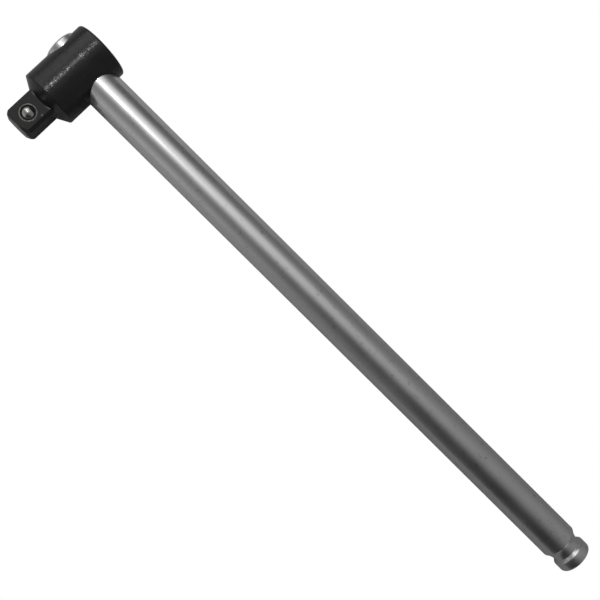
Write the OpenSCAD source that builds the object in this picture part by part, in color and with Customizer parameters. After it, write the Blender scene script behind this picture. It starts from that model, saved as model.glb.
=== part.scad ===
// Breaker bar with a sliding drive head, in millimetres.
// The tool lies on its side. The bar runs along +X, the drive square points along -Y and the
// face with the socket detent ball looks up, along +Z. The origin is on the drive axis, in the
// plane where the head's taper meets the square.

/* [Bar] */
// Length of the bar over both ends
bar_length = 300; // [200:1:450]
// Diameter of the bar
bar_d = 16; // [15.6:0.1:16.4]
// Diameter of the disc that is left at each end
end_disc_d = 15.2; // [14.6:0.1:15.2]
// Thickness of the disc, dome included
end_disc_t = 5.6; // [5.4:0.1:6.6]
// Height of the dome on each end
end_dome_h = 1; // [0.6:0.1:1.2]
// Radius between the disc's side and its dome
end_edge_r = 1.2; // [0.8:0.1:1.4]
// Diameter of the neck behind each disc
neck_d = 12.7; // [12.6:0.1:13]
// Length of the slanted shoulder between the disc and the neck
neck_shoulder = 0.9; // [0.8:0.1:1.2]
// Straight length of the neck
neck_straight = 0.4; // [0.2:0.1:0.6]
// Length of the hollow ramp from the neck up to the full bar
neck_ramp = 5.1; // [4.2:0.1:5.4]
// Rounding where the ramp meets the full bar
ramp_edge_r = 1.2; // [0.8:0.1:1.4]

/* [Head] */
// Diameter of the head
head_d = 24.6; // [24:0.1:26]
// Height of the head's top face above the bar's axis
head_above = 11.1; // [10.4:0.1:12]
// Length of the head's round side below the bar's axis
head_below = 18.4; // [17:0.1:20]
// Rounding of the head's top edge
head_top_r = 1; // [0.6:0.1:1.4]
// Rounding where the round side meets the taper
head_low_r = 0.8; // [0.6:0.1:2]
// Height of the taper between the round side and the square
taper_h = 3.4; // [3.2:0.1:5]
// Distance from the drive axis to the near end of the bar
end_to_drive = 13.4; // [13:0.1:15]
// Running gap between the bar and its bore, on the radius
bore_gap = 0.06; // [0.03:0.01:0.1]

/* [Drive square] */
// Width of the drive square across its flats
square_w = 12.6; // [12.5:0.05:12.7]
// Diameter on which the square's corners are turned off
square_corner_d = 16; // [15.6:0.1:16.6]
// Length of the square from the taper to its end face
square_l = 13.4; // [13:0.1:15]
// Length of the turned chamfer at the square's end
square_chamfer = 2.2; // [1.8:0.1:2.6]
// Diameter of the end face that the chamfer leaves
square_face_d = 9.6; // [9:0.1:11]

/* [Detents] */
// Diameter of the socket detent ball
square_ball_d = 6; // [5.5:0.1:6.2]
// How far the socket detent ball stands out of the square
square_ball_out = 1.35; // [1:0.05:1.4]
// Distance of the socket detent ball from the square's root
square_ball_at = 6.5; // [6:0.1:7]
// Diameter of the ball that catches the bar's neck
bar_ball_d = 5; // [4.8:0.1:5]
// Gap between a ball and its hole, on the radius
ball_gap = 0.04; // [0.02:0.01:0.08]

/* [Hidden] */
$fn = 96;

bar_r = bar_d / 2;
head_r = head_d / 2;
bore_r = bar_r + bore_gap;
bar_y = head_below + taper_h;   // the bar's axis, above the square's root
top_y = bar_y + head_above;     // the head's top face
taper_small_r = square_w / 2 + 0.3;
neck_at = end_disc_t + neck_shoulder;   // the neck's start, from the bar's end
neck_r = neck_d / 2;
chamfer_bulge = 1.4;            // how far the chamfer's bend is outside the end face
past = 1;                       // how far a cutting tool runs past a face

// The socket detent: a blind hole in the square's +Z face, whose rim is staked over the ball.
square_hole_r = square_ball_d / 2 + ball_gap;
square_hole_floor_z = -4.4;
square_ball_z = square_w / 2 + square_ball_out - square_ball_d / 2;
square_lip_r = 2.78;            // the narrowest place, which holds the ball in
square_mouth_r = 3.15;          // the flared mouth that the staking punch leaves
lip_depth = 0.35;
stake_h = 1.1;
stake_ring_r = 3.55;
stake_ring_w = 0.5;
stake_ring_depth = 0.2;

// The bar detent: a hole drilled from the head's top, through the bore and into its floor.
bar_ball_x = -end_to_drive + neck_at + 1.1;
bar_hole_r = bar_ball_d / 2 + ball_gap;
bar_hole_floor_y = 5;
bar_ball_y = bar_y - bar_r - 0.03 - bar_ball_d / 2;

// The springs: wire diameter, mean radius of the coil, turns.
square_wire_d = 0.6;
square_coil_r = 2.3;
square_turns = 6;
bar_wire_d = 0.5;
bar_coil_r = 1.9;
bar_turns = 6;
spring_seat_gap = 0.02;
closed_pitch = 1.06;   // rise of a closed turn, in wire diameters

// Points along an arc about centre c, from angle a to angle b.
function arc(c, r, a, b, steps = 8) =
    [for (i = [0 : steps]) let (t = a + (b - a) * i / steps) c + r * [cos(t), sin(t)]];

// How far below a ball's centre the last turn of its spring lies.
function seat_drop(ball_r, coil_r, wire_r) =
    sqrt(pow(ball_r + wire_r, 2) - pow(coil_r, 2)) + spring_seat_gap;

// A coil spring that stands on z = 0. Its first and last turns are wound closed.
module coil_spring(height, coil_r, wire_d, turns, sides = 6, per_turn = 14) {
    rings = turns * per_turn;
    wire_r = wire_d / 2;
    closed = closed_pitch * wire_d;
    open = (height - wire_d - 2 * closed) / (turns - 2);
    function lift(t) =
        t < 1 ? closed * t : t < turns - 1 ? closed + open * (t - 1)
        : closed + open * (turns - 2) + closed * (t - turns + 1);
    points = [for (k = [0 : rings], j = [0 : sides - 1])
        let (
            turn = 360 * k / per_turn,
            around = 360 * j / sides,
            r = coil_r + wire_r * cos(around)
        )
        [r * cos(turn), r * sin(turn), wire_r + lift(k / per_turn) + wire_r * sin(around)]];
    walls = [for (k = [0 : rings - 1], j = [0 : sides - 1], half = [0, 1])
        let (a = k * sides + j, b = k * sides + (j + 1) % sides)
        half == 0 ? [a, a + sides, b + sides] : [a, b + sides, b]];
    start_cap = [for (j = [1 : sides - 2]) [0, j, j + 1]];
    last = rings * sides;
    end_cap = [for (j = [1 : sides - 2]) [last, last + j + 1, last + j]];
    polyhedron(points, concat(walls, start_cap, end_cap), convexity = 4);
}

// Half of the bar's outline, from its middle to one end: radius against distance from the end.
module bar_half_outline() {
    disc_r = end_disc_d / 2;
    // The ramp is a hollow arc that runs smoothly into the rounded edge of the full bar.
    rise = bar_r - neck_r;
    both_r = (pow(neck_ramp, 2) + pow(rise, 2)) / (2 * rise);
    hollow_r = both_r - ramp_edge_r;
    slope = asin(neck_ramp / both_r);
    ramp_at = neck_at + neck_straight;
    // The end is a dome that the disc's side meets in a rounded edge.
    dome_r = disc_r - end_edge_r;
    dome_ball_r = (pow(dome_r, 2) + pow(end_dome_h, 2)) / (2 * end_dome_h);
    dome_half = asin(dome_r / dome_ball_r);
    polygon(concat(
        [[0, bar_length / 2], [bar_r, bar_length / 2]],
        arc([bar_r - ramp_edge_r, ramp_at + neck_ramp], ramp_edge_r, 0, -slope, 5),
        arc([neck_r + hollow_r, ramp_at], hollow_r, 180 - slope, 180),
        [[neck_r, neck_at], [disc_r, end_disc_t]],
        arc([disc_r - end_edge_r, end_dome_h + end_edge_r], end_edge_r, 0, -72, 6),
        arc([0, dome_ball_r], dome_ball_r, -90 + dome_half, -90, 6)
    ));
}

module bar_half() {
    rotate([0, 90, 0]) rotate_extrude() bar_half_outline();
}

// The bar: one turned piece, with the same neck and domed disc at each end.
module handle_bar() {
    color("silver")
    translate([-end_to_drive, bar_y, 0]) {
        bar_half();
        translate([bar_length, 0, 0]) mirror([1, 0, 0]) bar_half();
    }
}

// The head's turned outline: radius against distance from the square's root, towards its end.
module head_outline() {
    // The taper's angle from the axis, and where the rounding of its upper edge leaves the side.
    taper_angle = atan2(head_r - taper_small_r, taper_h);
    low_centre = [head_r - head_low_r, -taper_h - head_low_r * tan(taper_angle / 2)];
    polygon(concat(
        [[0, 0.5], [taper_small_r, 0]],
        arc(low_centre, head_low_r, taper_angle, 0, 6),
        arc([head_r - head_top_r, head_top_r - top_y], head_top_r, 0, -90),
        [[0, -top_y]]
    ));
}

// The square, with its corners turned round and its end chamfered.
module drive_square() {
    root = 2 * taper_h;
    intersection() {
        translate([-square_w / 2, -square_w / 2, -root])
            cube([square_w, square_w, square_l + root]);
        rotate_extrude() polygon([
            [0, -root],
            [square_corner_d / 2, -root],
            [square_corner_d / 2, square_l - square_chamfer],
            [square_face_d / 2 + chamfer_bulge, square_l - chamfer_bulge / 2],
            [square_face_d / 2, square_l],
            [0, square_l]
        ]);
    }
}

// The tool that cuts the socket detent's hole: a blind hole with a staked rim.
module square_detent_cut() {
    face_z = square_w / 2;
    translate([0, -square_ball_at, 0]) rotate_extrude() {
        polygon([
            [0, square_hole_floor_z],
            [square_hole_r, square_hole_floor_z],
            [square_hole_r, face_z - stake_h],
            [square_lip_r, face_z - lip_depth],
            [square_mouth_r, face_z],
            [square_mouth_r, face_z + past],
            [0, face_z + past]
        ]);
        polygon([
            [stake_ring_r - stake_ring_w / 2, face_z + 0.01],
            [stake_ring_r, face_z - stake_ring_depth],
            [stake_ring_r + stake_ring_w / 2, face_z + 0.01]
        ]);
    }
}

// The head: turned body and square in one forging, cross-bored for the bar.
module drive_head() {
    color([0.13, 0.13, 0.14])
    difference() {
        rotate([90, 0, 0]) union() {
            rotate_extrude() head_outline();
            drive_square();
        }
        translate([-head_r - past, bar_y, 0]) rotate([0, 90, 0])
            cylinder(r = bore_r, h = head_d + 2 * past);
        translate([bar_ball_x, bar_hole_floor_y, 0]) rotate([-90, 0, 0])
            cylinder(r = bar_hole_r, h = top_y - bar_hole_floor_y + past);
        square_detent_cut();
    }
}

// The ball that holds a socket on the square.
module square_detent_ball() {
    color("gainsboro")
    translate([0, -square_ball_at, square_ball_z]) sphere(d = square_ball_d);
}

// The spring under the socket detent ball.
module square_detent_spring() {
    drop = seat_drop(square_ball_d / 2, square_coil_r, square_wire_d / 2);
    height = square_ball_z - drop + square_wire_d / 2 - square_hole_floor_z - spring_seat_gap;
    color("dimgray")
    translate([0, -square_ball_at, square_hole_floor_z + spring_seat_gap])
        coil_spring(height, square_coil_r, square_wire_d, square_turns);
}

// The ball that drops into a neck of the bar and keeps the head from sliding off.
// It is drawn pressed back, just clear of the full bar.
module bar_detent_ball() {
    color("gainsboro")
    translate([bar_ball_x, bar_ball_y, 0]) sphere(d = bar_ball_d);
}

// The spring under the bar detent ball.
module bar_detent_spring() {
    drop = seat_drop(bar_ball_d / 2, bar_coil_r, bar_wire_d / 2);
    height = bar_ball_y - drop + bar_wire_d / 2 - bar_hole_floor_y - spring_seat_gap;
    color("dimgray")
    translate([bar_ball_x, bar_hole_floor_y + spring_seat_gap, 0]) rotate([-90, 0, 0])
        coil_spring(height, bar_coil_r, bar_wire_d, bar_turns);
}

handle_bar();
drive_head();
square_detent_ball();
square_detent_spring();
bar_detent_ball();
bar_detent_spring();
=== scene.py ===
# %% [markdown]
# # A breaker bar with a sliding head
#
# The tool has two large pieces. A round steel bar, turned at both ends and chromed, is the
# handle. A black head slides along it and carries the square that drives sockets. Two small
# balls with springs under them sit inside the head: one holds the socket, and the other drops
# into a neck of the bar so that the head doesn't slide off. Lengths below are in millimetres
# and are turned to metres where Blender needs them.

# %% Load the frame
import math

import bpy
import bmesh
from mathutils import Matrix, Vector


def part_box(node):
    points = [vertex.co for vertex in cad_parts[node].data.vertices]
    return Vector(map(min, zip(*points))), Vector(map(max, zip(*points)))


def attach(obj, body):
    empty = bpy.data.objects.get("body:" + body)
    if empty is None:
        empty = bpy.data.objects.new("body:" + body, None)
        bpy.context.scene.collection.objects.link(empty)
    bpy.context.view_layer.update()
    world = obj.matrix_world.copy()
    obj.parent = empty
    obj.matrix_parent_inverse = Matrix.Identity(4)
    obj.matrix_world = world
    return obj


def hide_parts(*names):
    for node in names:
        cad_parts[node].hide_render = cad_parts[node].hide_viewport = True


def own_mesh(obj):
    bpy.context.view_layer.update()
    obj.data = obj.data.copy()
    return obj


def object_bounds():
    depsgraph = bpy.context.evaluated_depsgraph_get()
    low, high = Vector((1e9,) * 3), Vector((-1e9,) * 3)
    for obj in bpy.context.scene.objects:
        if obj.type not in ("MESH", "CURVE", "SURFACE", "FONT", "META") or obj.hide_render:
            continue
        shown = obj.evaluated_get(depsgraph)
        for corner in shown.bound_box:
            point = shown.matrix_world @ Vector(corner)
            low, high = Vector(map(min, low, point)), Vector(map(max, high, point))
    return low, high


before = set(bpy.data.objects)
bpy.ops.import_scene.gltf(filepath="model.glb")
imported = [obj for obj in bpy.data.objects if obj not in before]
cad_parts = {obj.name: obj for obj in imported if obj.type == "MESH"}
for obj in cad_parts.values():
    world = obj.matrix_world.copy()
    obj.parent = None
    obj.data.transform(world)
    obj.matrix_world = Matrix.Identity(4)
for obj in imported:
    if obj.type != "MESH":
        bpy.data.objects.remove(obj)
cad_low, cad_high = [list(corner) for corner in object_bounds()]
bpy.ops.object.select_all(action="DESELECT")

MM = 0.001
print("CAD nodes:", sorted(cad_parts))

# %% [markdown]
# ## Reading sizes from the frame
#
# The frame already holds every solid at its real size, so the main sizes are read from it
# rather than typed again. The bar's axis runs along X, and the head's axis runs along Y
# through x = 0. Only the small sizes that a box can't give, such as a rounding, are named here.

# %% Main sizes
bar_low, bar_high = [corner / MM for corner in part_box("handle_bar")]
head_low, head_high = [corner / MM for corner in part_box("drive_head")]

bar_r = (bar_high.z - bar_low.z) / 2
bar_y = (bar_high.y + bar_low.y) / 2
bar_length = bar_high.x - bar_low.x
bar_middle = (bar_high.x + bar_low.x) / 2
head_r = head_high.x
head_top = head_high.y
square_end = head_low.y
bore_gap = 0.06
bore_r = bar_r + bore_gap
print(f"bar {bar_length:.1f} x {2 * bar_r:.1f} mm, axis at y = {bar_y:.1f} mm")
print(f"head {2 * head_r:.1f} mm across, from y = {square_end:.1f} to {head_top:.1f} mm")

# %% [markdown]
# ## Small helpers
#
# Colours are easiest to pick as the hex values that a colour picker shows, but shaders work in
# linear light, so one function converts them. Another adds a shader node with its settings and
# its links in one line, which keeps the materials short enough to read. It takes an input by its
# name, or as _0 or _6 by its place, since a few nodes have several inputs of one name.


# %% Colour and node helpers
def hex_to_linear(code):
    channels = [int(code[i : i + 2], 16) / 255 for i in (1, 3, 5)]
    return [c / 12.92 if c <= 0.04045 else ((c + 0.055) / 1.055) ** 2.4 for c in channels] + [1]


def add_node(tree, kind, settings=None, **inputs):
    node = tree.nodes.new("ShaderNode" + kind)
    for name, value in (settings or {}).items():
        setattr(node, name, value)
    for name, value in inputs.items():
        by_number = name[1:].isdigit()
        socket = node.inputs[int(name[1:]) if by_number else name.replace("_", " ")]
        if isinstance(value, bpy.types.NodeSocket):
            tree.links.new(value, socket)
        else:
            socket.default_value = value
    return node


def new_material(name):
    material = bpy.data.materials.new(name)
    material.use_nodes = True
    material.node_tree.nodes.clear()
    return material, material.node_tree


def finish_material(tree, shader):
    add_node(tree, "OutputMaterial", Surface=shader.outputs[0])


# %% [markdown]
# ## Working in edit mode
#
# Operators act on whatever is selected, so each step starts from nothing selected and then picks
# its faces or edges by where they are. These helpers do that picking for a piece whose mesh is
# already in its final place.


# %% Edit mode helpers
def only(piece):
    bpy.ops.object.select_all(action="DESELECT")
    piece.select_set(True)
    bpy.context.view_layer.objects.active = piece


def settle(piece):
    only(piece)
    bpy.ops.object.transform_apply(location=True, rotation=True, scale=True)


def pick_faces(piece, wanted):
    bpy.ops.mesh.select_mode(type="FACE")
    bpy.ops.mesh.select_all(action="DESELECT")
    mesh = bmesh.from_edit_mesh(piece.data)
    for face in mesh.faces:
        face.select_set(wanted(face))
    bmesh.update_edit_mesh(piece.data)


def pick_edges(piece, wanted):
    bpy.ops.mesh.select_mode(type="EDGE")
    bpy.ops.mesh.select_all(action="DESELECT")
    mesh = bmesh.from_edit_mesh(piece.data)
    for edge in mesh.edges:
        edge.select_set(wanted(edge))
    bmesh.update_edit_mesh(piece.data)
    return sum(edge.select for edge in mesh.edges)


def apply_modifier(piece, kind, **settings):
    only(piece)
    modifier = piece.modifiers.new(kind.lower(), kind)
    for name, value in settings.items():
        setattr(modifier, name, value)
    bpy.ops.object.modifier_apply(modifier=modifier.name)


def smooth(piece, degrees=30):
    only(piece)
    bpy.ops.object.shade_smooth_by_angle(angle=math.radians(degrees))


def arc_steps(centre, radius, start, end, count):
    """Points (along, out) on an arc, from start to end degrees."""
    turns = [math.radians(start + (end - start) * i / count) for i in range(count + 1)]
    return [(centre[0] + radius * math.sin(t), centre[1] + radius * math.cos(t)) for t in turns]


# %% [markdown]
# ## Turning on a lathe
#
# Both big pieces are turned, and a cylinder primitive can be turned the same way as a steel
# blank. Its end face is extruded a little and scaled about the axis to the next radius, again
# and again, so a list of (distance, radius) pairs plays the part of the lathe's template. A
# spin would do it too, but the extrude keeps one clean ring of faces for each step.


# %% A lathe for cylinder ends
def turn_end(piece, axis, face_at, face_r, direction, centre, steps):
    """Extrudes the end face of piece through steps of (distance from centre, radius)."""
    index = "XYZ".index(axis)
    only(piece)
    bpy.ops.object.mode_set(mode="EDIT")
    pick_faces(
        piece,
        lambda face: abs(face.normal[index] - direction) < 0.01
        and abs(face.calc_center_median()[index] - face_at * MM) < 0.01 * MM,
    )
    at, r = face_at, face_r
    for step_at, step_r in steps:
        move = [0, 0, 0]
        move[index] = (step_at - at) * MM
        bpy.ops.mesh.extrude_region_move(TRANSFORM_OT_translate={"value": move})
        scale = [step_r / r] * 3
        scale[index] = 1
        middle = [c * MM for c in centre]
        middle[index] = step_at * MM
        bpy.ops.transform.resize(value=scale, center_override=middle)
        at, r = step_at, step_r
    bpy.ops.mesh.poke()
    bpy.ops.object.mode_set(mode="OBJECT")


# %% [markdown]
# ## The bar
#
# The real bar is ground round steel, turned at each end to a neck and a domed disc, then
# chromed. The neck is where the retaining ball drops in. The shape from the end inwards is a
# shallow dome, a rounded edge, the disc's side, a slanted shoulder, the neck and a hollow ramp
# up to the full bar, and each corner has the small rounding that the tool bit and the plating
# leave.

# %% Template of the bar's end
disc_r = 7.6
disc_t = 5.6
dome_h = 1.0
disc_edge_r = 1.2
shoulder_l = 0.9
neck_r = 6.35
neck_straight = 0.4
ramp_l = 5.1
ramp_edge_r = 1.2
ring_sides = 192


def bar_end_template():
    """(distance from the bar's end, radius), from the full bar out to the middle of the dome."""
    rise = bar_r - neck_r
    both_r = (ramp_l**2 + rise**2) / (2 * rise)
    hollow_r = both_r - ramp_edge_r
    slope = math.degrees(math.asin(ramp_l / both_r))
    neck_at = disc_t + shoulder_l
    ramp_at = neck_at + neck_straight
    dome_r = disc_r - disc_edge_r
    dome_ball_r = (dome_r**2 + dome_h**2) / (2 * dome_h)
    dome_half = math.degrees(math.asin(dome_r / dome_ball_r))
    corner = 0.25
    tool_mark = 0.05
    return (
        arc_steps((ramp_at + ramp_l, bar_r - ramp_edge_r), ramp_edge_r, 0, -slope, 8)
        + arc_steps((ramp_at, neck_r + hollow_r), -hollow_r, -slope, 0, 16)
        + [(neck_at + tool_mark, neck_r)]
        + [(disc_t + corner * 0.9, disc_r - corner * 0.8)]
        + [(disc_t, disc_r - tool_mark), (disc_t - corner, disc_r)]
        + arc_steps((dome_h + disc_edge_r, disc_r - disc_edge_r), disc_edge_r, 0, -72, 10)
        + arc_steps((dome_ball_r, 0), dome_ball_r, -90 - dome_half, -89.9, 8)[1:-1]
    )


for along, out in bar_end_template():
    print(f"  {along:6.2f} {out:6.2f}")

# %% Turn the bar
template = bar_end_template()
straight = bar_length - 2 * template[0][0]
bpy.ops.mesh.primitive_cylinder_add(
    vertices=ring_sides,
    radius=bar_r * MM,
    depth=straight * MM,
    location=(bar_middle * MM, bar_y * MM, 0),
    rotation=(0, math.radians(90), 0),
)
bar = bpy.context.object
bar.name = "turned_bar"
settle(bar)
for side in (-1, 1):
    end_x = bar_middle + side * bar_length / 2
    steps = [(end_x - side * along, out) for along, out in template[1:]]
    start = bar_middle + side * straight / 2
    turn_end(bar, "X", start, bar_r, side, (0, bar_y, 0), steps)
smooth(bar)
print("bar:", len(bar.data.polygons), "faces")

# %% [markdown]
# ## The head's blank
#
# The head starts as a round steel blank too. Its top edge is rounded, the long round side ends
# in a small rounding, and a taper leads down towards the square. The number of sides is one at
# which no straight edge of the round side lies just outside the bore, where the bore's rim is
# bevelled later.

# %% Turn the head's blank
head_sides = 168
taper_top = 3.4
taper_small_r = 6.6
top_rounding = 1.0
side_rounding = 0.8
taper_angle = math.atan2(head_r - taper_small_r, taper_top)
side_from = taper_top + side_rounding * math.tan(taper_angle / 2)
side_to = head_top - top_rounding
bpy.ops.mesh.primitive_cylinder_add(
    vertices=head_sides,
    radius=head_r * MM,
    depth=(side_to - side_from) * MM,
    location=(0, (side_to + side_from) / 2 * MM, 0),
    rotation=(math.radians(90), 0, 0),
)
head = bpy.context.object
head.name = "black_head"
settle(head)
top_steps = [
    (side_to + out, along)
    for out, along in [
        (top_rounding * math.sin(t), head_r - top_rounding * (1 - math.cos(t)))
        for t in [math.radians(a) for a in range(11, 91, 11)]
    ]
]
turn_end(head, "Y", side_to, head_r, 1, (0, 0, 0), top_steps + [(head_top, 2.0)])
side_steps = [
    (side_from - side_rounding * math.sin(t), head_r - side_rounding * (1 - math.cos(t)))
    for t in [taper_angle * i / 8 for i in range(1, 9)]
]
turn_end(
    head, "Y", side_from, head_r, -1, (0, 0, 0), side_steps + [(0, taper_small_r), (-0.5, 3.0)]
)
print("head blank:", len(head.data.polygons), "faces")

# %% [markdown]
# ## The drive square
#
# On the real head the square is milled out of the same forging, and the lathe has already
# turned its corners round and chamfered its end. The same two cuts make it here: a turned stub
# and a block, and what they share is the square. It is then joined to the blank.

# %% Mill the square
square_w = 12.6
corner_r = 8.0
end_face_r = 4.8
chamfer_l = 2.2
chamfer_bulge = 1.4
root = 6.0  # how far the stub runs up inside the head
block_l = 40  # longer than the stub

bpy.ops.mesh.primitive_cylinder_add(
    vertices=ring_sides,
    radius=corner_r * MM,
    depth=(root - square_end - chamfer_l) * MM,
    location=(0, (root + square_end + chamfer_l) / 2 * MM, 0),
    rotation=(math.radians(90), 0, 0),
)
stub = bpy.context.object
stub.name = "square_stub"
settle(stub)
chamfer_steps = [
    (square_end + chamfer_bulge / 2, end_face_r + chamfer_bulge),
    (square_end, end_face_r),
    (square_end, 2),
]
turn_end(stub, "Y", square_end + chamfer_l, corner_r, -1, (0, 0, 0), chamfer_steps)

bpy.ops.mesh.primitive_cube_add(size=1, location=(0, 0, 0))
block = bpy.context.object
block.name = "square_block"
block.scale = (square_w * MM, block_l * MM, square_w * MM)
settle(block)
apply_modifier(stub, "BOOLEAN", object=block, operation="INTERSECT", solver="EXACT")
bpy.data.objects.remove(block)
apply_modifier(head, "BOOLEAN", object=stub, operation="UNION", solver="EXACT")
bpy.data.objects.remove(stub)
print("head with its square:", len(head.data.polygons), "faces")

# %% [markdown]
# ## The holes
#
# Three holes go into the head: the cross bore for the bar, the drilling from the top that takes
# the retaining ball, and the blind hole in the square for the socket's ball. Each is cut with a
# tool of its own shape. The last tool is narrower at the mouth, because the rim there is
# punched over the ball to keep it in, and the punch leaves a ring-shaped groove around it.


# %% Drill the holes
def cut(piece, tool):
    apply_modifier(piece, "BOOLEAN", object=tool, operation="DIFFERENCE", solver="EXACT")
    bpy.data.objects.remove(tool)


def drill(radius, start, end, sides=96):
    start, end = Vector(start), Vector(end)
    along = end - start
    bpy.ops.mesh.primitive_cylinder_add(
        vertices=sides, radius=radius * MM, depth=along.length * MM, location=(start + end) / 2 * MM
    )
    tool = bpy.context.object
    tool.rotation_mode = "QUATERNION"
    tool.rotation_quaternion = along.to_track_quat("Z", "Y")
    settle(tool)
    return tool


square_ball_low, square_ball_high = [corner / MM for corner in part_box("square_detent_ball")]
bar_ball_low, bar_ball_high = [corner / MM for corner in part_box("bar_detent_ball")]
square_spring_low, _ = [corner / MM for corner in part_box("square_detent_spring")]
bar_spring_low, _ = [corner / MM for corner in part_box("bar_detent_spring")]
square_ball = (square_ball_low + square_ball_high) / 2
bar_ball = (bar_ball_low + bar_ball_high) / 2
square_ball_r = (square_ball_high.x - square_ball_low.x) / 2
bar_ball_r = (bar_ball_high.x - bar_ball_low.x) / 2
ball_gap = 0.04
face_z = square_w / 2
stake_h = 1.1
lip_r = 2.78
lip_depth = 0.35
mouth_r = 3.15
seat_gap = 0.02  # from a spring's lower end to the floor of its hole
past = 1  # how far a tool runs past a face, doubled for the bore

cut(head, drill(bore_r, (-head_r - 2 * past, bar_y, 0), (head_r + 2 * past, bar_y, 0), sides=160))
top_hole_floor = (bar_ball.x, bar_spring_low.y - seat_gap, 0)
cut(head, drill(bar_ball_r + ball_gap, top_hole_floor, (bar_ball.x, head_top + past, 0)))
hole_top = face_z - stake_h
hole_r = square_ball_r + ball_gap
square_hole_floor = (0, square_ball.y, square_spring_low.z - seat_gap)
detent_tool = drill(hole_r, square_hole_floor, (0, square_ball.y, hole_top), sides=64)
turn_end(
    detent_tool,
    "Z",
    hole_top,
    hole_r,
    1,
    (0, square_ball.y, 0),
    [(face_z - lip_depth, lip_r), (face_z, mouth_r), (face_z + past, mouth_r)],
)
cut(head, detent_tool)
print("head with its holes:", len(head.data.polygons), "faces")

# %% The punched ring and the hardness mark
ring_r = 3.5
ring_wire = 0.28
ring_crest_r = 3.35
ring_lift = 0.1  # the middle of the ring-shaped punch is this far above the face
bpy.ops.mesh.primitive_torus_add(
    major_radius=ring_r * MM,
    minor_radius=ring_wire * MM,
    major_segments=96,
    minor_segments=16,
    location=(0, square_ball.y * MM, (face_z + ring_lift) * MM),
)
groove = bpy.context.object
settle(groove)
cut(head, groove)

mark_x, mark_y, mark_r = 4.4, square_ball.y + 3.1, 0.6
mark_lift = mark_r * 0.62
bpy.ops.mesh.primitive_uv_sphere_add(
    segments=24,
    ring_count=12,
    radius=mark_r * MM,
    location=(mark_x * MM, mark_y * MM, (face_z + mark_lift) * MM),
)
dimple = bpy.context.object
settle(dimple)
cut(head, dimple)
print("head with its marks:", len(head.data.polygons), "faces")

# %% [markdown]
# ## Breaking the edges
#
# No edge of a real tool is perfectly sharp. The rim of the cross bore is chamfered so that it
# doesn't scrape the bar, and the milled edges of the square are broken by tumbling. Each group
# of edges is picked by where it lies and bevelled by its own amount.


# %% Bevel the bore's rim and the square's edges
rim_bevel = 0.25
square_bevel = 0.18
close_enough = 0.02  # a corner this near to both round walls is on the bore's rim
below_root = -0.3
deep_r = 4.6  # nearer to the drive axis than this, an edge is deep in the ball's hole
end_zone = 0.1
end_middle_r = 4
least_corner = math.radians(12)


def on_bore_rim(point):
    x, y, z = point / MM
    around_bar = math.hypot(y - bar_y, z)
    around_drive = math.hypot(x, z)
    return abs(around_bar - bore_r) < close_enough and abs(around_drive - head_r) < close_enough


def on_square_edge(edge):
    middle = (edge.verts[0].co + edge.verts[1].co) / 2 / MM
    if middle.y > below_root or len(edge.link_faces) != 2:
        return False
    around_drive = math.hypot(middle.x, middle.z)
    if around_drive < deep_r and middle.y > square_end + end_zone:
        return False
    return edge.calc_face_angle() > least_corner and around_drive > end_middle_r


only(head)
bpy.ops.object.mode_set(mode="EDIT")
bpy.ops.mesh.select_all(action="SELECT")
bpy.ops.mesh.remove_doubles(threshold=0.03 * MM)
rim = pick_edges(head, lambda edge: all(on_bore_rim(v.co) for v in edge.verts))
bpy.ops.mesh.bevel(offset=rim_bevel * MM, segments=3, clamp_overlap=False)
edges = pick_edges(head, on_square_edge)
bpy.ops.mesh.bevel(offset=square_bevel * MM, segments=2, clamp_overlap=True)
bpy.ops.mesh.select_all(action="SELECT")
bpy.ops.mesh.normals_make_consistent(inside=False)
bpy.ops.object.mode_set(mode="OBJECT")
smooth(head)
apply_modifier(head, "WEIGHTED_NORMAL", keep_sharp=True)
print("bevelled", rim, "rim edges and", edges, "square edges;", len(head.data.polygons), "faces")

# %% [markdown]
# ## The springs
#
# Each ball sits on a small coil spring of drawn wire. A circle as thick as the wire, carried
# round and up by a Screw modifier, is how a coil is wound. Its height is the one that the frame
# gives the spring's node.


# %% Wind the springs
def wind_spring(name, node, axis, wire_r, turns):
    low, high = [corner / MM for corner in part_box(node)]
    middle = (low + high) / 2
    index = "XYZ".index(axis)
    outer_r = (high.x - low.x) / 2
    height = high[index] - low[index]
    bpy.ops.mesh.primitive_circle_add(vertices=12, radius=wire_r * MM)
    coil = bpy.context.object
    coil.name = name
    coil.location = ((outer_r - wire_r) * MM, 0, 0)
    coil.rotation_euler = (math.radians(90), 0, 0)
    settle(coil)
    apply_modifier(
        coil,
        "SCREW",
        axis="Z",
        angle=math.radians(360),
        iterations=turns,
        screw_offset=(height - 2 * wire_r) / turns * MM,
        steps=36,
        render_steps=36,
        use_merge_vertices=False,
    )
    only(coil)
    bpy.ops.object.mode_set(mode="EDIT")
    bpy.ops.mesh.select_mode(type="EDGE")
    bpy.ops.mesh.select_all(action="DESELECT")
    bpy.ops.mesh.select_non_manifold()
    bpy.ops.mesh.edge_face_add()
    bpy.ops.mesh.select_all(action="SELECT")
    bpy.ops.mesh.normals_make_consistent(inside=False)
    bpy.ops.object.mode_set(mode="OBJECT")
    place = Vector(middle)
    place[index] = low[index] + wire_r
    coil.location = place * MM
    if axis == "Y":
        coil.rotation_euler = (math.radians(-90), 0, 0)
    settle(coil)
    smooth(coil, 60)
    return coil


square_spring = wind_spring("socket_ball_spring", "square_detent_spring", "Z", 0.3, 6)
bar_spring = wind_spring("bar_ball_spring", "bar_detent_spring", "Y", 0.25, 6)
print("springs:", len(square_spring.data.polygons), len(bar_spring.data.polygons), "faces")

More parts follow.
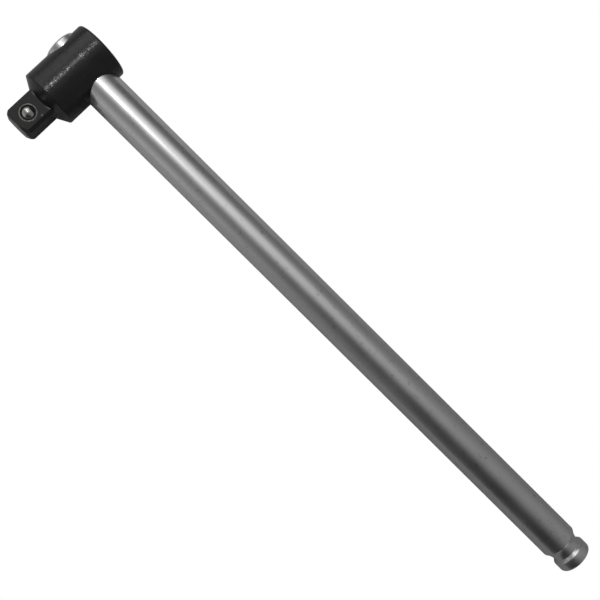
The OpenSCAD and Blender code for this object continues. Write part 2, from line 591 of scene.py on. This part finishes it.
# %% [markdown]
# ## Satin chrome on ground steel
#
# The bar is hard chrome over centreless-ground steel. Chrome is a metal with a nearly neutral
# colour, and the grinding under it leaves fine lines that run round the bar and blur what it
# reflects. The lines are really about 0.02 mm apart, too fine to show, so they are drawn 0.3 mm
# apart. Handling leaves faint smudges a centimetre or so across, which only change the gloss,
# and a few small dull specks, which darken the plating.

# %% Chrome material
chrome, tree = new_material("satin_hard_chrome")
place = add_node(tree, "TexCoord")
line_gap = 0.3
smudge_size = 11
speck_size = 2.2
lines = add_node(
    tree,
    "Mapping",
    Vector=place.outputs["Object"],
    Scale=(1 / (line_gap * MM), 90, 90),
)
grinding = add_node(tree, "TexNoise", Vector=lines.outputs[0], Scale=1, Detail=3, Roughness=0.6)
smudge = add_node(
    tree, "TexNoise", Vector=place.outputs["Object"], Scale=1 / (smudge_size * MM), Detail=4, Roughness=0.55
)
gloss = add_node(
    tree,
    "MapRange",
    Value=smudge.outputs["Fac"],
    From_Min=0.35,
    From_Max=0.75,
    To_Min=0.22,
    To_Max=0.3,
)
bump = add_node(
    tree, "Bump", Height=grinding.outputs["Fac"], Strength=0.4, Distance=0.006 * MM
)
specks = add_node(
    tree, "TexNoise", Vector=place.outputs["Object"], Scale=1 / (speck_size * MM), Detail=5, Roughness=0.6
)
stained = add_node(
    tree, "MapRange", Value=specks.outputs["Fac"], From_Min=0.6, From_Max=0.74, To_Min=0, To_Max=0.5
)
plating = add_node(
    tree,
    "Mix",
    {"data_type": "RGBA"},
    _0=stained.outputs[0],
    _6=hex_to_linear("#D9D9DA"),
    _7=hex_to_linear("#8C8A88"),
)
finish_material(
    tree,
    add_node(
        tree,
        "BsdfPrincipled",
        Base_Color=plating.outputs[2],
        Metallic=1.0,
        Roughness=gloss.outputs[0],
        Normal=bump.outputs[0],
    ),
)

# %% [markdown]
# ## Black oxide on forged steel
#
# The head is blackened in a hot salt bath and dipped in oil. The oxide is a thin dark mineral
# layer, so it shines like a dark stone and not like bare metal. On the turned body the oil
# leaves a soft gloss, and the skin under it is uneven at one or two millimetres, which breaks a
# long highlight into pieces. The milled square holds less oil and is duller. Where the rim was
# punched over the ball, at the hardness mark and on the chamfer, a light grey and partly metallic
# colour is painted. It is partly wear, where the black is rubbed through and grey steel shows, and
# partly a painted highlight for the light that these edges catch. Each such place is found by its
# distance from a point or a plane.

# %% Black oxide material
oxide, tree = new_material("black_oxide_steel")
place = add_node(tree, "TexCoord")
skin_size = 1.7
patch_size = 5
skin = add_node(
    tree, "TexNoise", Vector=place.outputs["Object"], Scale=1 / (skin_size * MM), Detail=4, Roughness=0.6
)
patches = add_node(
    tree, "TexNoise", Vector=place.outputs["Object"], Scale=1 / (patch_size * MM), Detail=3, Roughness=0.5
)
across = add_node(tree, "SeparateXYZ", Vector=place.outputs["Object"])


def fade_between(value, none_at, full_at):
    """0 where value is none_at millimetres, 1 where it is full_at."""
    return add_node(
        tree, "MapRange", Value=value, From_Min=none_at * MM, From_Max=full_at * MM
    ).outputs[0]


def wear_and_highlight_ring(x, y, r, width):
    """A ring of radius r about (x, y) on the square's upper face."""
    flat = add_node(
        tree,
        "Mapping",
        Vector=place.outputs["Object"],
        Location=(-x * MM, -y * MM, 0),
        Scale=(1, 1, 0),
    )
    away = add_node(tree, "VectorMath", {"operation": "LENGTH"}, _0=flat.outputs[0])
    off = add_node(tree, "Math", {"operation": "SUBTRACT"}, _0=away.outputs["Value"], _1=r * MM)
    off = add_node(tree, "Math", {"operation": "ABSOLUTE"}, _0=off.outputs[0])
    near = fade_between(off.outputs[0], width, width / 3)
    top = fade_between(across.outputs["Z"], face_z - 0.7, face_z - 0.5)
    return add_node(tree, "Math", {"operation": "MULTIPLY"}, _0=near, _1=top).outputs[0]


# Worn steel and painted highlight: a light grey ring round the ball's hole, a spot at the hardness mark and
# a band on the square's chamfer.
wear_and_highlight = wear_and_highlight_ring(0, square_ball.y, ring_crest_r, 0.34)
for other in (
    wear_and_highlight_ring(mark_x, mark_y, 0, mark_r),
    fade_between(across.outputs["Y"], square_end + 0.75, square_end + 0.35),
):
    wear_and_highlight = add_node(tree, "Math", {"operation": "MAXIMUM"}, _0=wear_and_highlight, _1=other).outputs[0]
uneven = add_node(
    tree, "MapRange", Value=skin.outputs["Fac"], From_Min=0.35, From_Max=0.6, To_Min=0.5, To_Max=1.0
)
wear_and_highlight = add_node(
    tree, "Math", {"operation": "MULTIPLY"}, _0=wear_and_highlight, _1=uneven.outputs[0]
).outputs[0]

shade = add_node(
    tree,
    "Mix",
    {"data_type": "RGBA"},
    _0=patches.outputs["Fac"],
    _6=hex_to_linear("#232325"),
    _7=hex_to_linear("#303032"),
)
# This light grey is partly worn steel and partly a painted highlight.
colour = add_node(
    tree,
    "Mix",
    {"data_type": "RGBA"},
    _0=wear_and_highlight,
    _6=shade.outputs[2],
    _7=hex_to_linear("#A4A4A2"),
)
body_gloss = add_node(
    tree, "MapRange", Value=skin.outputs["Fac"], From_Min=0.35, From_Max=0.65, To_Min=0.1, To_Max=0.28
)
on_square = fade_between(across.outputs["Y"], 0.4, -0.4)
gloss = add_node(
    tree, "Mix", {"data_type": "FLOAT"}, _0=on_square, _2=body_gloss.outputs[0], _3=0.5
)
bump = add_node(tree, "Bump", Height=skin.outputs["Fac"], Strength=0.7, Distance=0.14 * MM)
# The worn and painted-highlight places are partly metallic.
wear_and_highlight_metal = add_node(tree, "Math", {"operation": "MULTIPLY"}, _0=wear_and_highlight, _1=0.3)
finish_material(
    tree,
    add_node(
        tree,
        "BsdfPrincipled",
        Base_Color=colour.outputs[2],
        Metallic=wear_and_highlight_metal.outputs[0],
        IOR=1.5,
        Specular_IOR_Level=0.3,
        Roughness=gloss.outputs[0],
        Normal=bump.outputs[0],
    ),
)

# %% [markdown]
# ## Polished balls and spring wire
#
# The balls are hardened bearing steel, ground and polished almost to a mirror, with a few fine
# scratches from sockets. The springs are drawn carbon steel wire, darker and with faint lines
# along the wire.

# %% Ball and spring materials
bearing, tree = new_material("polished_bearing_steel")
place = add_node(tree, "TexCoord")
scratch_size = 0.5
scratches = add_node(
    tree, "TexNoise", Vector=place.outputs["Object"], Scale=1 / (scratch_size * MM), Detail=4, Roughness=0.7
)
gloss = add_node(
    tree,
    "MapRange",
    Value=scratches.outputs["Fac"],
    From_Min=0.3,
    From_Max=0.7,
    To_Min=0.06,
    To_Max=0.16,
)
finish_material(
    tree,
    add_node(
        tree,
        "BsdfPrincipled",
        Base_Color=hex_to_linear("#C4C2BE"),
        Metallic=1.0,
        Roughness=gloss.outputs[0],
    ),
)

wire, tree = new_material("drawn_spring_steel")
place = add_node(tree, "TexCoord")
grain_size = 0.2
draw_marks = add_node(
    tree, "TexNoise", Vector=place.outputs["Object"], Scale=1 / (grain_size * MM), Detail=3, Roughness=0.6
)
tone = add_node(
    tree,
    "Mix",
    {"data_type": "RGBA"},
    _0=draw_marks.outputs["Fac"],
    _6=hex_to_linear("#6B6A68"),
    _7=hex_to_linear("#8C8A87"),
)
finish_material(
    tree,
    add_node(
        tree, "BsdfPrincipled", Base_Color=tone.outputs[2], Metallic=1.0, Roughness=0.34
    ),
)


# %% [markdown]
# ## Putting the pieces on the frame
#
# Each new piece stands for the CAD node of the same thing and moves with that node's body. The
# two balls are exact spheres in the frame already, so they stay and only get a finish.


# %% Dress and attach
def dress(piece, material):
    piece.data.materials.clear()
    piece.data.materials.append(material)


for piece, node, body, slot, material in [
    (bar, "handle_bar", "bar", "chromed_steel", chrome),
    (head, "drive_head", "head", "black_oxide_steel", oxide),
    (square_spring, "square_detent_spring", "head", "spring_steel", wire),
    (bar_spring, "bar_detent_spring", "head", "spring_steel", wire),
]:
    dress(piece, material)
    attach(piece, body)
    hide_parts(node)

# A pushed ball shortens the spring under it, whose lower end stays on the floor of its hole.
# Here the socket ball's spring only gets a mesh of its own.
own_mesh(square_spring)

for node in ("square_detent_ball", "bar_detent_ball"):
    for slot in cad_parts[node].material_slots:
        slot.material = bearing

# %% [markdown]
# ## The table, the lights and the camera
#
# The tool lies on a pale table. The camera always sees the table, and the room behind it, as
# plain white. The greys given here are what the metal reflects, and they are painted light and
# shade: the table is painted lighter by the head and greyer by the far end, for how the studio's
# light falls around the tool. What a metal shows is what stands around it, so the studio's walls
# matter more here than its lamps. The bar is a long round mirror: across the bar it shows the
# room from one side wall over the ceiling to the other, and along the bar it shows the near
# part of the room first and then the far part. So the room is given as two soft gradients from
# wall to wall, one for each part, with an easy change between them.

# %% Table
floor_z = cad_low[2]
bpy.ops.mesh.primitive_plane_add(size=4, location=(0.1, 0, floor_z - 0.0001))
table = bpy.context.object
table.name = "pale_table"
paper, tree = new_material("white_table_paper")
seen = add_node(tree, "LightPath")
glow = add_node(tree, "Emission", Color=(1, 1, 1, 1), Strength=1.0)
place = add_node(tree, "TexCoord")
along_table = add_node(tree, "SeparateXYZ", Vector=place.outputs["Object"])
# Painted light and shade: the grey that the metal reflects is lighter by the head and darker by the far
# end.
fall_off = add_node(
    tree, "MapRange", Value=along_table.outputs["X"], From_Min=-0.06, From_Max=0.1
)
table_painted_light_and_shade = add_node(
    tree,
    "Mix",
    {"data_type": "RGBA"},
    _0=fall_off.outputs[0],
    _6=hex_to_linear("#DBDBDD"),
    _7=hex_to_linear("#B0B0B2"),
)
matte = add_node(tree, "BsdfDiffuse", Color=table_painted_light_and_shade.outputs[2])
mixed = add_node(
    tree, "MixShader", _0=seen.outputs["Is Camera Ray"], _1=matte.outputs[0], _2=glow.outputs[0]
)
finish_material(tree, mixed)
dress(table, paper)

# %% The studio's walls and ceiling
# Brightness by angle from straight up, in degrees: negative on the side that the square points
# to, positive on the other side. The near part is by the head and the far part by the far end.
near_room = {
    -111: 0.40, -91: 0.46, -71: 0.50, -51: 0.30, -31: 0.20, -14: 0.34,
    6: 1.2, 24: 1.22, 44: 0.26, 64: 0.09, 90: 0.13,
}
far_room = {
    -111: 0.20, -91: 0.08, -71: 0.03, -51: 0.03, -31: 0.04, -11: 0.11,
    9: 0.20, 29: 0.235, 49: 0.265, 69: 0.235, 90: 0.20,
}

world = bpy.data.worlds.new("studio")
bpy.context.scene.world = world
world.use_nodes = True
tree = world.node_tree
tree.nodes.clear()
direction = add_node(tree, "TexCoord")
split = add_node(tree, "SeparateXYZ", Vector=direction.outputs["Generated"])
tilt = add_node(
    tree, "Math", {"operation": "ARCTAN2"}, _0=split.outputs["Y"], _1=split.outputs["Z"]
)
round_room = add_node(
    tree, "MapRange", Value=tilt.outputs[0], From_Min=-math.pi, From_Max=math.pi
)


def room_gradient(levels):
    node = add_node(tree, "ValToRGB", Fac=round_room.outputs[0])
    ramp = node.color_ramp
    ramp.interpolation = "B_SPLINE"
    for i, (degrees, level) in enumerate(sorted(levels.items())):
        place = (degrees + 180) / 360
        stop = ramp.elements[i] if i < 2 else ramp.elements.new(place)
        stop.position = place
        stop.color = (level, level, level, 1)
    return node


ease = add_node(
    tree,
    "MapRange",
    Value=split.outputs["X"],
    From_Min=-0.19,
    From_Max=0.41,
    To_Min=1,
    To_Max=0,
)
near_share = add_node(tree, "Math", {"operation": "POWER"}, _0=ease.outputs[0], _1=1.7)
walls = add_node(
    tree,
    "Mix",
    {"data_type": "RGBA"},
    _0=near_share.outputs[0],
    _6=room_gradient(far_room).outputs[0],
    _7=room_gradient(near_room).outputs[0],
)
room = add_node(tree, "Background", Color=walls.outputs[2], Strength=1.0)
backdrop = add_node(tree, "Background", Color=(1, 1, 1, 1), Strength=1.0)
seen = add_node(tree, "LightPath")
around = add_node(
    tree, "MixShader", _0=seen.outputs["Is Camera Ray"], _1=room.outputs[0], _2=backdrop.outputs[0]
)
add_node(tree, "OutputWorld", Surface=around.outputs[0])


# %% Soft boxes
def soft_box(name, way, distance, width, height, level):
    """A lamp in direction way from the tool, whose face is level times as bright as white."""
    light = bpy.data.lights.new(name, "AREA")
    light.shape = "RECTANGLE"
    light.size = width
    light.size_y = height
    light.energy = level * math.pi * width * height
    lamp = bpy.data.objects.new(name, light)
    bpy.context.scene.collection.objects.link(lamp)
    way = Vector(way).normalized()
    lamp.location = way * distance
    lamp.rotation_euler = way.to_track_quat("Z", "Y").to_euler()
    return lamp


soft_box("key_soft_box", (-0.71, 0.42, 0.56), 0.9, 0.6, 0.6, 0.6)
soft_box("strip_light", (-0.3, 0.135, 0.94), 0.9, 0.02, 0.08, 110)

# %% Camera
eye = Vector((104.0, -33.4, 364.5)) * MM
look_at = eye + Vector((0.0627, 0.1374, -0.9885))
picture_up = Vector((-0.7028, 0.7094, 0.054))
back = (eye - look_at).normalized()
right = picture_up.cross(back).normalized()
up = back.cross(right)
lens = bpy.data.cameras.new("camera")
lens.sensor_width = 36
lens.lens = 54.3
lens.clip_start = 0.01
camera = bpy.data.objects.new("camera", lens)
bpy.context.scene.collection.objects.link(camera)
facing = Matrix((right, up, back)).transposed().to_4x4()
camera.matrix_world = Matrix.Translation(eye) @ facing
bpy.context.scene.camera = camera
bpy.context.scene.view_settings.view_transform = "Standard"
